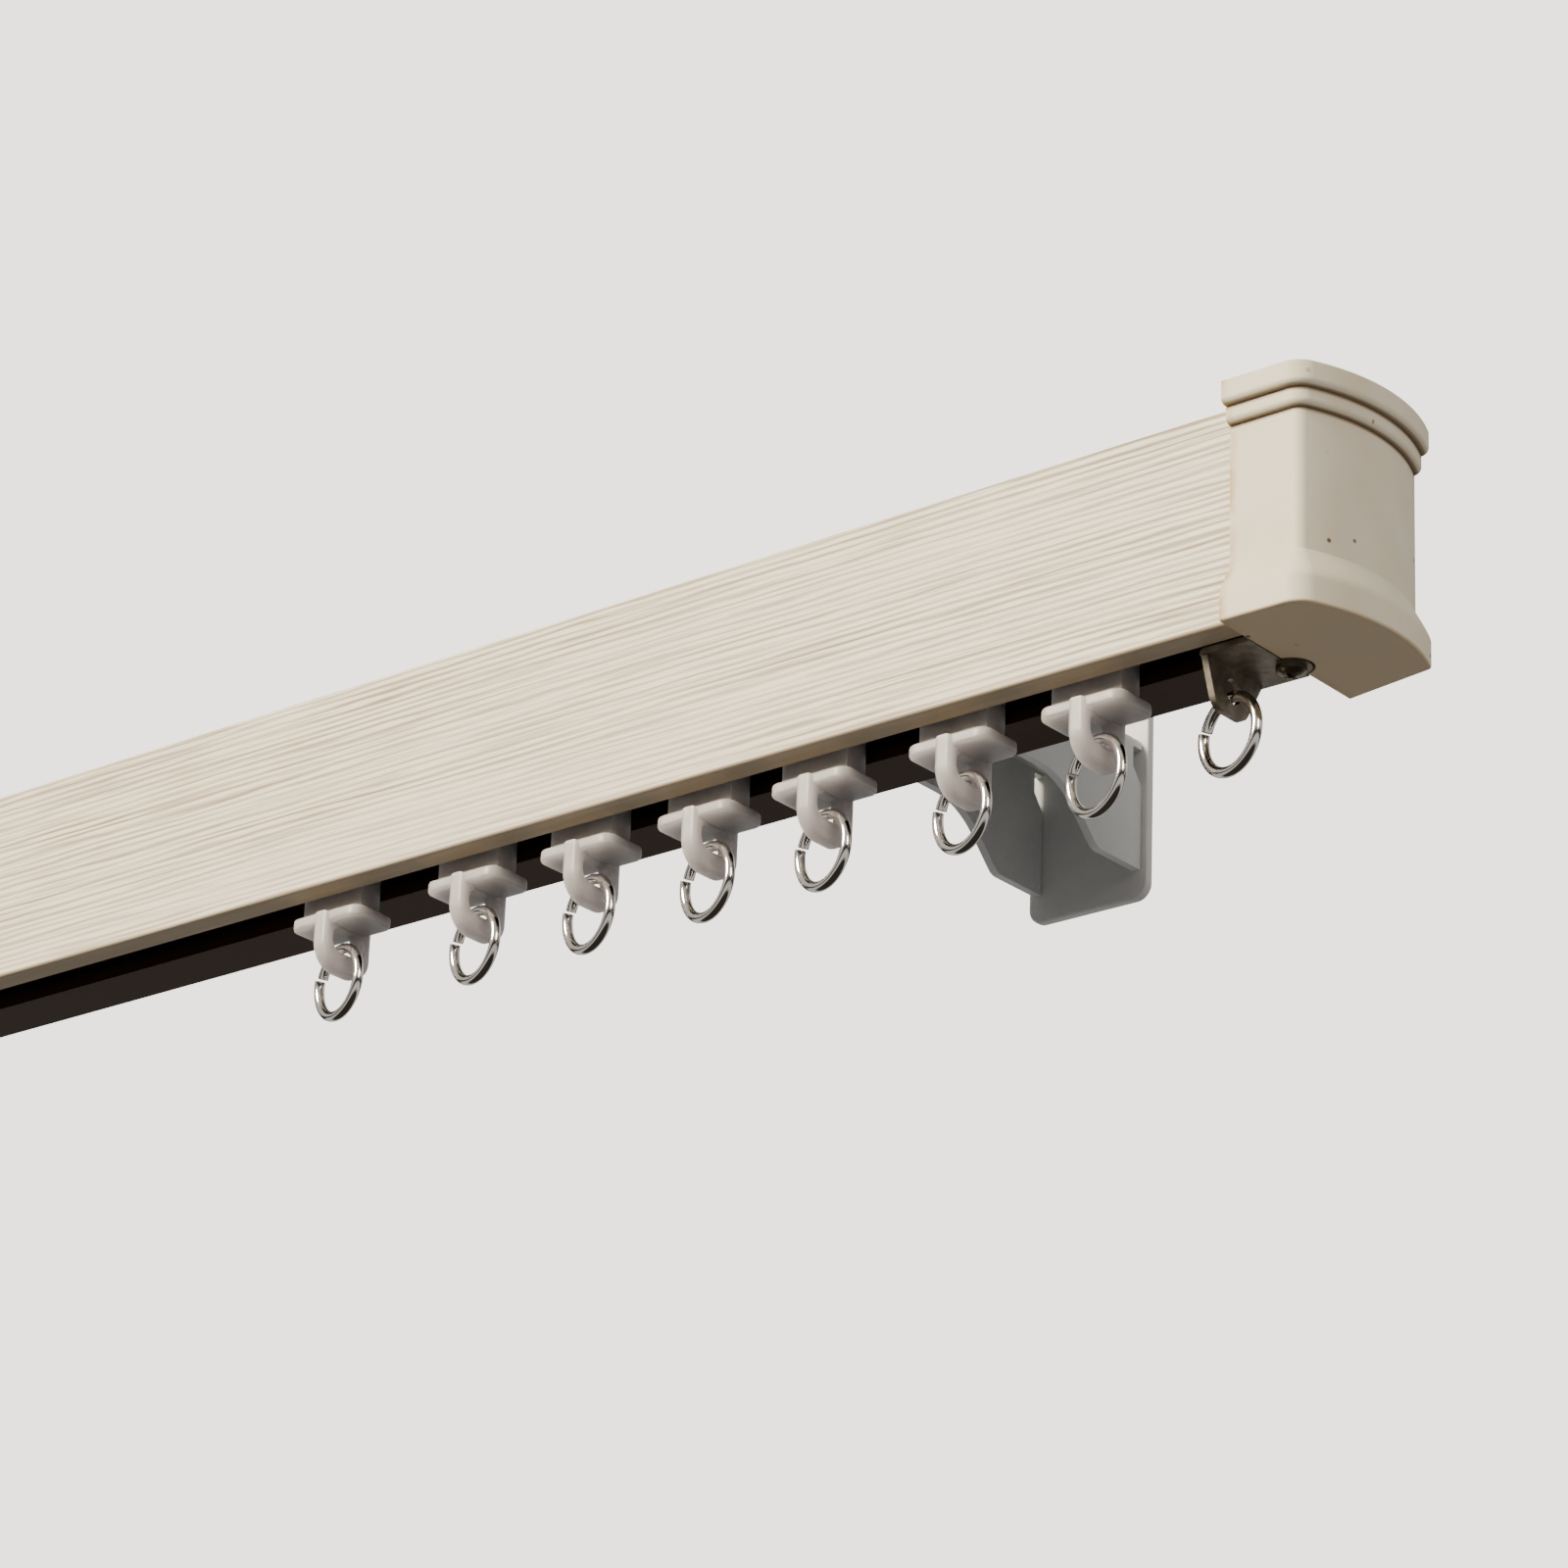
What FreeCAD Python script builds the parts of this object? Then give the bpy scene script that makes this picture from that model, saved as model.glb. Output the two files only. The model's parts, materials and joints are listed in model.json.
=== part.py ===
import FreeCAD, Part
import math
import os
import Sketcher

# A wall-mounted curtain track: an extruded channel behind a wood-grain fascia, held by two folded
# brackets, with a moulded cap, a folded stop plate and a ring at each end, and roller gliders with
# split rings between them.
#
# Pieces are drawn by their depth behind the fascia's front face (Y) and their height above the
# fascia's lower edge (Z). The track's own frame has its origin on the wall, in the middle of the
# four wall screws, with X along the track, Y into the wall and Z up.

vector = FreeCAD.Vector

# Driving dimensions, in millimetres and degrees
dimensions = {
    # Where the track stands
    "wall_projection": 65.0,
    "screw_height": 27.0,
    "screw_pitch": 10.0,
    "screw_hole_radius": 2.5,
    "fit_gap": 0.2,
    # Channel
    "channel_length": 600.0,
    "channel_front": 2.6,
    "channel_depth": 22.0,
    "channel_height": 15.5,
    "channel_wall": 1.2,
    "slot_front": 5.4,
    "slot_width": 7.6,
    "lip_top": 2.6,
    "lip_width": 1.6,
    "clamp_groove_width": 4.6,
    "hook_rib_depth": 5.0,
    "hook_rib_height": 2.0,
    "hook_rib_width": 1.0,
    # Fascia
    "fascia_height": 40.0,
    "fascia_thickness": 2.4,
    "fascia_return_depth": 5.2,
    "fascia_return_thickness": 1.2,
    "fascia_hook_thickness": 1.3,
    "fascia_edge_radius": 0.7,
    # End cap
    "cap_overlap": 8.0,
    "cap_width": 18.6,
    "cap_proud": 0.8,
    "cap_rear": 35.1,
    "cap_rear_slant": 2.85,
    "cap_wall": 1.8,
    "cap_floor": 1.1,
    "cap_top": 43.7,
    "cap_bow_radius": 36.0,
    "cap_bow_middle": 17.0,
    "cap_corner_radius": 2.2,
    "cap_base_height": 4.4,
    "cap_base_proud": 2.9,
    "cap_base_edge": 0.5,
    "cap_step_edge": 1.1,
    "cap_top_edge": 0.5,
    "cap_flare_top": 10.4,
    "cap_band_bottom": 36.1,
    "cap_band_proud": 1.35,
    "cap_cornice_bottom": 39.25,
    "cap_cornice_proud": 2.8,
    "cap_shelf_length": 8.0,
    # Wall bracket
    "bracket_from_cap": 76.2,
    "bracket_sheet": 1.6,
    "bracket_plate_width": 26.6,
    "bracket_plate_top": 38.0,
    "bracket_plate_bottom": 14.0,
    "bracket_corner_radius": 3.0,
    "bracket_arm_width": 24.0,
    "bracket_arm_front": 9.0,
    "bracket_web_front_height": 1.8,
    "bracket_web_bend_depth": 39.5,
    "bracket_web_heel_depth": 50.2,
    "bracket_web_heel_drop": 8.7,
    "bracket_bend_radius": 16.0,
    "bracket_heel_radius": 3.0,
    "bracket_crease_radius": 1.4,
    "bracket_plate_edge": 0.4,
    "bracket_notch_depth": 2.6,
    "bracket_notch_height": 7.8,
    "bracket_notch_short_height": 4.6,
    "bracket_notch_top": 0.6,
    "clamp_bolt_radius": 2.0,
    "clamp_head_radius": 4.0,
    "clamp_head_height": 2.6,
    "clamp_head_rim": 1.6,
    "clamp_head_flat": 2.4,
    "clamp_bolt_length": 8.0,
    "clamp_nut_width": 7.0,
    "clamp_nut_thickness": 2.8,
    # End stop
    "stop_sheet": 1.2,
    "stop_from_cap": 9.3,
    "stop_front": 5.7,
    "stop_rear": 23.3,
    "stop_tab_radius": 3.6,
    "stop_screw_inset": 0.6,
    "stop_screw_depth": 18.5,
    "stop_fold_radius": 0.9,
    "stop_tongue_drop": 9.8,
    "stop_tongue_front": 9.2,
    "stop_tongue_rear": 17.4,
    "stop_tongue_radius": 3.0,
    "stop_eye_depth": 14.0,
    "stop_eye_drop": 5.2,
    "stop_eye_radius": 2.3,
    "stop_screw_radius": 1.45,
    "stop_screw_length": 6.0,
    "stop_head_radius": 2.7,
    "stop_head_height": 1.8,
    "stop_head_rim": 0.9,
    "stop_head_flat": 1.6,
    # Glider
    "glider_drop": 3.3,
    "glider_plate_thickness": 2.3,
    "glider_plate_length": 17.8,
    "glider_plate_front": 5.0,
    "glider_plate_rear": 5.8,
    "glider_plate_radius": 2.4,
    "glider_plate_edge": 0.6,
    "glider_neck_length": 14.8,
    "glider_neck_width": 5.2,
    "glider_neck_root": 0.7,
    "glider_eye_front": 5.6,
    "glider_eye_rear": 7.0,
    "glider_eye_height": 9.0,
    "glider_eye_width": 3.8,
    "glider_eye_arm": 2.5,
    "glider_eye_web": 2.4,
    "glider_eye_bar": 4.0,
    "glider_eye_front_radius": 5.5,
    "glider_eye_rear_radius": 4.0,
    "glider_eye_hole_radius": 2.2,
    "glider_eye_edge": 1.1,
    # Wheels
    "wheel_radius": 3.1,
    "wheel_width": 2.2,
    "wheel_chamfer": 0.3,
    "wheel_side_gap": 0.25,
    "wheel_lift": 0.1,
    "axle_radius": 1.0,
    "axle_play": 0.05,
    # Split ring
    "ring_outer_radius": 7.7,
    "ring_wire_radius": 1.0,
    "ring_play": 0.3,
    "ring_gap": 4.5,
    "ring_gap_side": 162.0,
    "ring_turn": 14.0,
}

# Each glider's middle, measured leftwards from the right cap's inner edge
glider_places = [212.5, 177.7, 149.6, 121.3, 94.6, 63.6, 34.8]
for number, distance in enumerate(glider_places, start=1):
    dimensions[f"glider_{number}_from_cap"] = distance

doc = FreeCAD.newDocument("CurtainTrack")
sheet = doc.addObject("Spreadsheet::Sheet", "Sizes")
for row, (alias, value) in enumerate(dimensions.items(), start=1):
    sheet.set(f"A{row}", alias)
    sheet.set(f"B{row}", str(value))
    sheet.setAlias(f"B{row}", alias)
doc.recompute()


# A value together with the sheet expression that gives it
class Size:
    def __init__(self, value, text):
        self.value = value
        self.text = text

    def __add__(self, other):
        other = as_size(other)
        return Size(self.value + other.value, f"({self.text} + {other.text})")

    def __sub__(self, other):
        other = as_size(other)
        return Size(self.value - other.value, f"({self.text} - {other.text})")

    def __mul__(self, other):
        other = as_size(other)
        return Size(self.value * other.value, f"({self.text} * {other.text})")

    def __truediv__(self, other):
        other = as_size(other)
        return Size(self.value / other.value, f"({self.text} / {other.text})")

    def __neg__(self):
        return Size(-self.value, f"(0 - {self.text})")


def as_size(number):
    return number if isinstance(number, Size) else Size(float(number), str(float(number)))


def size(alias):
    return Size(dimensions[alias], f"Sizes.{alias}")


def root(amount):
    return Size(math.sqrt(amount.value), f"sqrt({amount.text})")


# Drawing and feature helpers

zero = as_size(0)
pieces = []


def new_body(label):
    body = doc.addObject("PartDesign::Body", label)
    body.Label = label
    return body


def keep(piece):
    pieces.append(piece)
    return piece


# The round stretch from start to end, and the numbers of its points there
def arc_between(start, end, radius, turn):
    chord = end - start
    rise = math.sqrt(max(radius * radius - chord.Length * chord.Length / 4, 0))
    left = vector(-chord.y, chord.x, 0) / chord.Length
    centre = (start + end) / 2 + left * (rise * turn)
    first, last = (start, end) if turn > 0 else (end, start)
    angle_first = math.atan2(first.y - centre.y, first.x - centre.x)
    angle_last = math.atan2(last.y - centre.y, last.x - centre.x)
    if angle_last < angle_first:
        angle_last += 2 * math.pi
    arc = Part.ArcOfCircle(Part.Circle(centre, vector(0, 0, 1), radius), angle_first, angle_last)
    return (arc, 1, 2) if turn > 0 else (arc, 2, 1)


# Adds one bound dimension to a sketch
def dimension(drawing, amount, *constraint):
    index = drawing.addConstraint(Sketcher.Constraint(*constraint, amount.value))
    drawing.setExpression(f"Constraints[{index}]", amount.text)


# Draws a closed path. A corner is (across, up), or (across, up, radius, turn) where the stretch to
# the next corner is round, with turn 1 to the left and -1 to the right.
def draw_path(drawing, corners):
    stretches = []
    for index, corner in enumerate(corners):
        following = corners[(index + 1) % len(corners)]
        start = vector(corner[0].value, corner[1].value, 0)
        end = vector(following[0].value, following[1].value, 0)
        if len(corner) == 2:
            stretches.append((drawing.addGeometry(Part.LineSegment(start, end)), 1, 2))
        else:
            arc, first, last = arc_between(start, end, corner[2].value, corner[3])
            stretches.append((drawing.addGeometry(arc), first, last))
    for index, corner in enumerate(corners):
        geometry, first, last = stretches[index]
        before, before_first, before_last = stretches[index - 1]
        drawing.addConstraint(Sketcher.Constraint("Coincident", before, before_last, geometry, first))
        dimension(drawing, corner[0], "DistanceX", -1, 1, geometry, first)
        dimension(drawing, corner[1], "DistanceY", -1, 1, geometry, first)
        if len(corner) == 4:
            dimension(drawing, corner[2], "Radius", geometry)


def draw_circle(drawing, across, up, radius):
    centre = vector(across.value, up.value, 0)
    geometry = drawing.addGeometry(Part.Circle(centre, vector(0, 0, 1), radius.value))
    dimension(drawing, across, "DistanceX", -1, 1, geometry, 3)
    dimension(drawing, up, "DistanceY", -1, 1, geometry, 3)
    dimension(drawing, radius, "Radius", geometry)


# A sketch on one of the body's own planes, moved along the plane's normal by level
def sketch(body, plane, level=zero):
    drawing = body.newObject("Sketcher::SketchObject", "Sketch")
    support = [feature for feature in body.Origin.OriginFeatures if feature.Role == plane][0]
    drawing.AttachmentSupport = [(support, "")]
    drawing.MapMode = "FlatFace"
    drawing.setExpression("AttachmentOffset.Base.z", level.text)
    return drawing


def path_sketch(body, plane, corners, level=zero):
    drawing = sketch(body, plane, level)
    draw_path(drawing, corners)
    return drawing


def pad(body, drawing, length):
    feature = body.newObject("PartDesign::Pad", "Pad")
    feature.Profile = drawing
    feature.setExpression("Length", length.text)
    return feature


# Cuts against the sketch's normal, or to both sides of it when length is left out
def pocket(body, drawing, length=None):
    feature = body.newObject("PartDesign::Pocket", "Pocket")
    feature.Profile = drawing
    if length is None:
        feature.Type = "ThroughAll"
        feature.SideType = "Symmetric"
    else:
        feature.setExpression("Length", length.text)
    return feature


# Rounds the edges of the body's present shape that the test picks
def fillet(body, radius, test):
    doc.recompute()
    base = body.Tip
    names = [f"Edge{index}" for index, edge in enumerate(base.Shape.Edges, start=1) if test(edge)]
    feature = body.newObject("PartDesign::Fillet", "Fillet")
    feature.Base = (base, names)
    feature.setExpression("Radius", radius.text)
    return feature


# True for points that agree with every given coordinate
def near(point, x=None, y=None, z=None, reach=1e-4):
    pairs = ((point.x, x), (point.y, y), (point.z, z))
    return all(wanted is None or abs(have - wanted.value) < reach for have, wanted in pairs)


def along(edge, **coordinates):
    return all(near(vertex.Point, **coordinates) for vertex in edge.Vertexes)


def rectangle(left, right, low, high):
    return [(left, low), (right, low), (right, high), (left, high)]


def round_rectangle(left, right, low, high, radius):
    return [
        (left + radius, low), (right - radius, low, radius, 1),
        (right, low + radius), (right, high - radius, radius, 1),
        (right - radius, high), (left + radius, high, radius, 1),
        (left, high - radius), (left, low + radius, radius, 1),
    ]


# Puts a piece into the track's frame from its place along it, its depth and its height
def place(piece, x=zero, depth=zero, height=zero, rotation=FreeCAD.Rotation()):
    piece.Placement = FreeCAD.Placement(vector(), rotation)
    piece.setExpression("Placement.Base.x", x.text)
    piece.setExpression("Placement.Base.y", (depth - size("wall_projection")).text)
    piece.setExpression("Placement.Base.z", (height - size("screw_height")).text)
    return piece


# A turned piece: a closed profile of (radius, height) round its own axis
def turned(label, profile):
    body = new_body(label)
    drawing = path_sketch(body, "XZ_Plane", profile)
    feature = body.newObject("PartDesign::Revolution", "Revolution")
    feature.Profile = drawing
    feature.ReferenceAxis = (drawing, ["V_Axis"])
    feature.Angle = 360
    return keep(body)


# The same piece at the track's left end
def mirrored(label, source):
    piece = doc.addObject("Part::Mirroring", label)
    piece.Label = label
    piece.Source = source
    piece.Normal = vector(1, 0, 0)
    return keep(piece)


rotation_to_depth = FreeCAD.Rotation(vector(1, 0, 0), -90)

# Shared places
fascia_length = size("channel_length") - size("cap_overlap") * 2
cap_edge = fascia_length / 2
slot_rear = size("slot_front") + size("slot_width")
slot_middle = size("slot_front") + size("slot_width") / 2
channel_rear = size("channel_front") + size("channel_depth")
channel_roof = size("channel_height") - size("channel_wall")
chamber_front = size("slot_front") - size("lip_width")
chamber_rear = slot_rear + size("lip_width")
groove_chamber_front = chamber_rear + size("channel_wall")
groove_chamber_rear = channel_rear - size("channel_wall")
clamp_depth = (groove_chamber_front + groove_chamber_rear) / 2
stop_screw_x = cap_edge - size("stop_screw_inset")
hook_top = size("channel_height") + size("hook_rib_height") + size("fit_gap")
hook_leg_front = size("hook_rib_depth") + size("hook_rib_width") + size("fit_gap")


# Channel: one extrusion with the runner chamber, open below, and the clamp groove, open above
def make_channel():
    body = new_body("channel")
    wall = size("channel_wall")
    height = size("channel_height")
    front_lip = size("fascia_return_thickness") + size("fit_gap")
    groove_front = clamp_depth - size("clamp_groove_width") / 2
    groove_rear = clamp_depth + size("clamp_groove_width") / 2
    rib_rear = size("hook_rib_depth") + size("hook_rib_width")
    rib_top = height + size("hook_rib_height")
    section = [
        (size("channel_front"), front_lip),
        (size("slot_front"), front_lip),
        (size("slot_front"), size("lip_top")),
        (chamber_front, size("lip_top")),
        (chamber_front, channel_roof),
        (chamber_rear, channel_roof),
        (chamber_rear, size("lip_top")),
        (slot_rear, size("lip_top")),
        (slot_rear, zero),
        (channel_rear, zero),
        (channel_rear, height),
        (groove_rear, height),
        (groove_rear, channel_roof),
        (groove_chamber_rear, channel_roof),
        (groove_chamber_rear, wall),
        (groove_chamber_front, wall),
        (groove_chamber_front, channel_roof),
        (groove_front, channel_roof),
        (groove_front, height),
        (rib_rear, height),
        (rib_rear, rib_top),
        (size("hook_rib_depth"), rib_top),
        (size("hook_rib_depth"), height),
        (size("channel_front"), height),
    ]
    drawing = path_sketch(body, "YZ_Plane", section, -size("channel_length") / 2)
    pad(body, drawing, size("channel_length"))
    holes = sketch(body, "XY_Plane", wall + size("fit_gap"))
    screw_hole = size("stop_screw_radius") + size("axle_play")
    draw_circle(holes, stop_screw_x, size("stop_screw_depth"), screw_hole)
    draw_circle(holes, -stop_screw_x, size("stop_screw_depth"), screw_hole)
    pocket(body, holes, wall + size("fit_gap") * 2)
    return keep(place(body))


# Fascia: a tall front with a return at each edge and a hook that snaps behind the channel's rib
def make_fascia():
    body = new_body("fascia")
    thickness = size("fascia_thickness")
    height = size("fascia_height")
    fold = size("fascia_return_thickness")
    depth = size("fascia_return_depth")
    leg_rear = hook_leg_front + size("fascia_hook_thickness")
    leg_bottom = size("channel_height") + size("fit_gap")
    section = [
        (zero, zero), (depth, zero), (depth, fold), (thickness, fold),
        (thickness, hook_top), (hook_leg_front, hook_top), (hook_leg_front, leg_bottom),
        (leg_rear, leg_bottom), (leg_rear, hook_top + size("fascia_hook_thickness")),
        (thickness, hook_top + size("fascia_hook_thickness")),
        (thickness, height - fold), (depth, height - fold), (depth, height), (zero, height),
    ]
    drawing = path_sketch(body, "YZ_Plane", section, -cap_edge)
    pad(body, drawing, fascia_length)
    edge_radius = size("fascia_edge_radius")
    fillet(body, edge_radius, lambda edge: along(edge, y=zero, z=zero) or along(edge, y=zero, z=height))
    return keep(place(body))


# Plan of the end cap, moved outwards by proud, from its open side to its bowed end
def cap_plan(proud, rear, open_side):
    bow = size("cap_bow_radius")
    corner = size("cap_corner_radius")
    bow_x = size("cap_width") - bow
    bow_y = size("cap_bow_middle")
    corner_y = corner - size("cap_proud")
    offset_y = bow_y - corner_y
    span = bow - corner
    corner_x = bow_x + root(span * span - offset_y * offset_y)
    reach = (bow + proud) / span
    front = -size("cap_proud") - proud
    # Where the slanted rear line meets the bow
    slope = size("cap_rear_slant") / size("cap_width")
    tilt = slope * slope + 1
    rear_offset = rear - bow_y
    half_sum = bow_x + slope * rear_offset
    product = bow_x * bow_x + rear_offset * rear_offset - (bow + proud) * (bow + proud)
    end_x = (half_sum + root(half_sum * half_sum - tilt * product)) / tilt
    return [
        (open_side, front),
        (corner_x, front, corner + proud, 1),
        (bow_x + (corner_x - bow_x) * reach, bow_y - offset_y * reach, bow + proud, 1),
        (end_x, rear - slope * end_x),
        (open_side, rear - slope * open_side),
    ]


# End cap: a hollow moulding with a flared base, a stepped cornice and a notch for the stop's tab
def make_cap():
    body = new_body("end_cap_right")
    rear = size("cap_rear")
    bottom = -size("cap_floor") - size("fit_gap") / 2
    base_top = bottom + size("cap_base_height")
    flare_height = size("cap_flare_top") - base_top
    base_proud = size("cap_base_proud")
    outer_rear = rear - size("cap_rear_slant") * 1.2

    def layer(low, high, proud):
        pad(body, path_sketch(body, "XY_Plane", cap_plan(proud, rear, zero), low), high - low)

    def round_outside(height, radius):
        def outer_edge(edge):
            at_rear = all(vertex.Y > outer_rear.value for vertex in edge.Vertexes)
            return along(edge, z=height) and not along(edge, x=zero) and not at_rear

        fillet(body, radius, outer_edge)

    layer(size("cap_cornice_bottom"), size("cap_top"), size("cap_cornice_proud"))
    round_outside(size("cap_cornice_bottom"), size("cap_step_edge"))
    round_outside(size("cap_top"), size("cap_top_edge"))
    layer(size("cap_band_bottom"), size("cap_cornice_bottom"), size("cap_band_proud"))
    round_outside(size("cap_band_bottom"), size("cap_step_edge"))
    layer(bottom, size("cap_cornice_bottom"), zero)
    layer(bottom, base_top, base_proud)
    round_outside(bottom, size("cap_base_edge"))
    # Share of the flare's height, and share of the base's overhang there
    flare_shares = [(0.0, 1.0), (0.22, 0.9), (0.5, 0.55), (0.8, 0.16), (1.0, -0.1)]
    sections = []
    for share_up, share_out in flare_shares:
        plan = cap_plan(base_proud * share_out, rear, zero)
        sections.append(path_sketch(body, "XY_Plane", plan, base_top + flare_height * share_up))
    flare = body.newObject("PartDesign::AdditiveLoft", "Flare")
    flare.Profile = sections[0]
    flare.Sections = sections[1:]

    wall = size("cap_wall")
    cavity_floor = -size("fit_gap") / 2
    cavity_roof = size("cap_top") - wall
    cavity = path_sketch(body, "XY_Plane", cap_plan(-wall, rear - wall, -wall), cavity_roof)
    pocket(body, cavity, cavity_roof - cavity_floor)

    shelf_low = size("channel_height") + size("fit_gap")
    shelf_front = hook_leg_front + size("fascia_hook_thickness")
    shelf = rectangle(wall, wall + size("cap_shelf_length"), shelf_front, rear - wall)
    pad(body, path_sketch(body, "XY_Plane", shelf, shelf_low), wall)

    notch_radius = size("stop_tab_radius") + size("fit_gap") * 2
    inset = size("stop_screw_inset")
    reach = root(notch_radius * notch_radius - inset * inset)
    screw_depth = size("stop_screw_depth")
    notch = [
        (-wall, screw_depth - reach),
        (zero, screw_depth - reach, notch_radius, 1),
        (notch_radius - inset, screw_depth, notch_radius, 1),
        (zero, screw_depth + reach),
        (-wall, screw_depth + reach),
    ]
    pocket(body, path_sketch(body, "XY_Plane", notch, zero), size("cap_floor") * 2)
    keep(place(body, cap_edge + size("fit_gap") / 2))
    return mirrored("end_cap_left", body)


# Wall bracket: a folded channel arm on a wall plate, clamped to the channel by a bolt and a nut
def make_bracket(label, x):
    body = new_body(f"wall_bracket_{label}")
    metal = size("bracket_sheet")
    wall = size("wall_projection")
    half_plate = size("bracket_plate_width") / 2
    half_arm = size("bracket_arm_width") / 2
    underside = size("channel_height")
    plate_low = -size("bracket_plate_bottom")
    plate = round_rectangle(
        -half_plate, half_plate, plate_low, size("bracket_plate_top"), size("bracket_corner_radius")
    )
    plate_front = wall - metal
    pad(body, path_sketch(body, "XZ_Plane", plate, -wall), metal)
    fillet(body, size("bracket_plate_edge"), lambda edge: along(edge, y=plate_front))
    top = rectangle(-half_arm, half_arm, size("bracket_arm_front"), plate_front)
    pad(body, path_sketch(body, "XY_Plane", top, underside), metal)

    web_front = channel_rear + size("fit_gap")
    web_rear = plate_front - size("fit_gap")
    heel = -size("bracket_web_heel_drop")
    bend = size("bracket_web_bend_depth")
    web = [
        (web_front, size("bracket_web_front_height")),
        (bend, size("bracket_web_front_height")),
        (size("bracket_web_heel_depth"), heel),
        (web_rear, heel),
        (web_rear, underside - size("bracket_notch_height")),
        (web_rear - size("bracket_notch_depth"), underside - size("bracket_notch_short_height")),
        (web_rear - size("bracket_notch_depth"), underside - size("bracket_notch_top")),
        (web_rear, underside - size("bracket_notch_top")),
        (web_rear, underside + metal / 2),
        (web_front, underside + metal / 2),
    ]
    for side in (-half_arm, half_arm - metal):
        pad(body, path_sketch(body, "YZ_Plane", web, side), metal)
    web_front_height = size("bracket_web_front_height")
    fillet(body, size("bracket_bend_radius"), lambda edge: along(edge, y=bend, z=web_front_height))
    heel_depth = size("bracket_web_heel_depth")
    fillet(body, size("bracket_heel_radius"), lambda edge: along(edge, y=heel_depth, z=heel))
    crease = underside + metal
    fillet(body, size("bracket_crease_radius"),
           lambda edge: along(edge, x=half_arm, z=crease) or along(edge, x=-half_arm, z=crease))

    screws = sketch(body, "XZ_Plane", -wall)
    for height in (size("screw_height") - size("screw_pitch") / 2,
                   size("screw_height") + size("screw_pitch") / 2):
        draw_circle(screws, zero, height, size("screw_hole_radius"))
    pocket(body, screws)
    clamp_hole = sketch(body, "XY_Plane", crease)
    draw_circle(clamp_hole, zero, clamp_depth, size("clamp_bolt_radius") + size("fit_gap"))
    pocket(body, clamp_hole, metal * 2)
    keep(place(body, x))

    bolt = size("clamp_bolt_radius")
    head = size("clamp_head_radius")
    profile = [
        (zero, -size("clamp_bolt_length")),
        (bolt, -size("clamp_bolt_length")),
        (bolt, zero),
        (head, zero),
        (head, size("clamp_head_rim")),
        (size("clamp_head_flat"), size("clamp_head_height")),
        (zero, size("clamp_head_height")),
    ]
    place(turned(f"clamp_bolt_{label}", profile), x, clamp_depth, crease)

    nut = new_body(f"clamp_nut_{label}")
    half_nut = size("clamp_nut_width") / 2
    drawing = path_sketch(nut, "XY_Plane", rectangle(-half_nut, half_nut, -half_nut, half_nut))
    draw_circle(drawing, zero, zero, bolt + size("axle_play"))
    pad(nut, drawing, size("clamp_nut_thickness"))
    keep(place(nut, x, clamp_depth, channel_roof - size("clamp_nut_thickness") - size("fit_gap") / 2))


# The split ring, hung on a bar whose top is at the given height
def make_ring(label, x, depth, bar_top):
    ring = doc.addObject("Part::Torus", label)
    ring.Label = label
    wire = size("ring_wire_radius")
    ring.setExpression("Radius1", (size("ring_outer_radius") - wire).text)
    ring.setExpression("Radius2", wire.text)
    ring.setExpression("Angle3", (as_size(360) - size("ring_gap")).text)
    gap_end = dimensions["ring_gap_side"] + dimensions["ring_gap"] / 2
    upright = FreeCAD.Rotation(vector(1, 0, 0), 90)
    turn = FreeCAD.Rotation(vector(0, 0, 1), -dimensions["ring_turn"])
    start = FreeCAD.Rotation(vector(0, 0, 1), gap_end)
    centre = bar_top + size("ring_play") + wire * 2 - size("ring_outer_radius")
    return keep(place(ring, x, depth, centre, turn * upright * start))


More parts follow.
